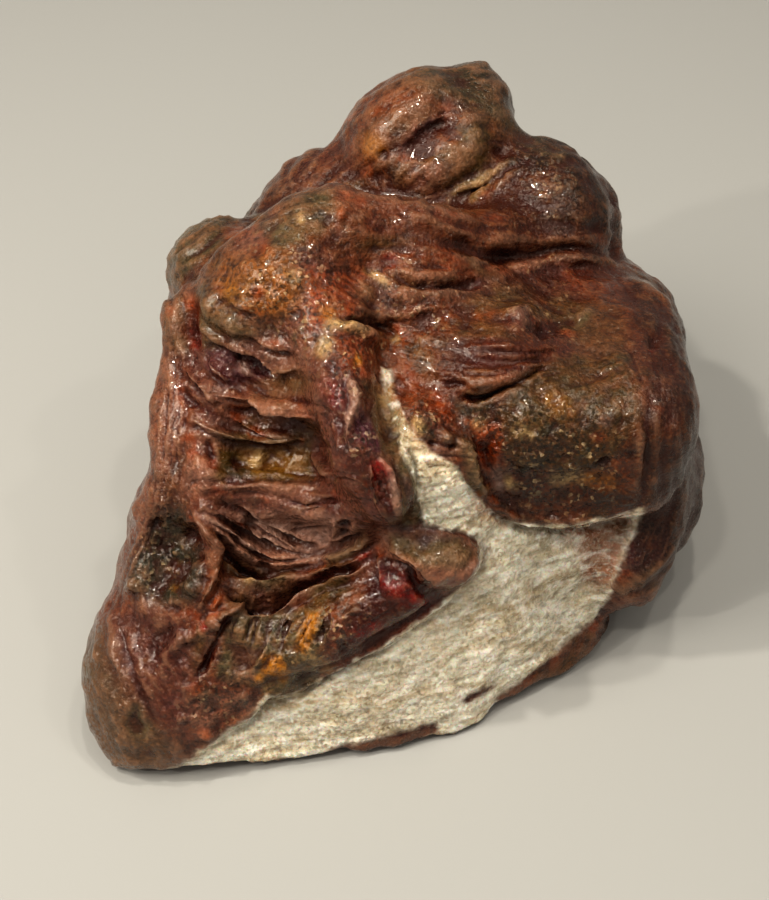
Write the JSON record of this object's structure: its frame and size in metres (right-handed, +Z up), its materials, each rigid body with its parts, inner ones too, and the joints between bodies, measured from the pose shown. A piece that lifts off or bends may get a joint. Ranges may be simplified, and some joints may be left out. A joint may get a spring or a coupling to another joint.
{
  "type": "raw agate",
  "caption": "Palm-sized rough stone of folded waxy red-brown lobes, with a scooped hollow and a slanting break of milky quartz in front.",
  "frame": {"origin": "centre of the bounding box in plan, on the flat face that the stone rests on", "axes": "+Z up from the resting face, the broken front with its quartz face looks along -Y, +X to the right of someone facing it"},
  "size_m": [0.0818, 0.081, 0.0602],
  "materials": {
    "agate": "waxy red-brown skin with a matte milky break"
  },
  "bodies": {
    "root": {"agate": "agate"}
  },
  "joints": []
}
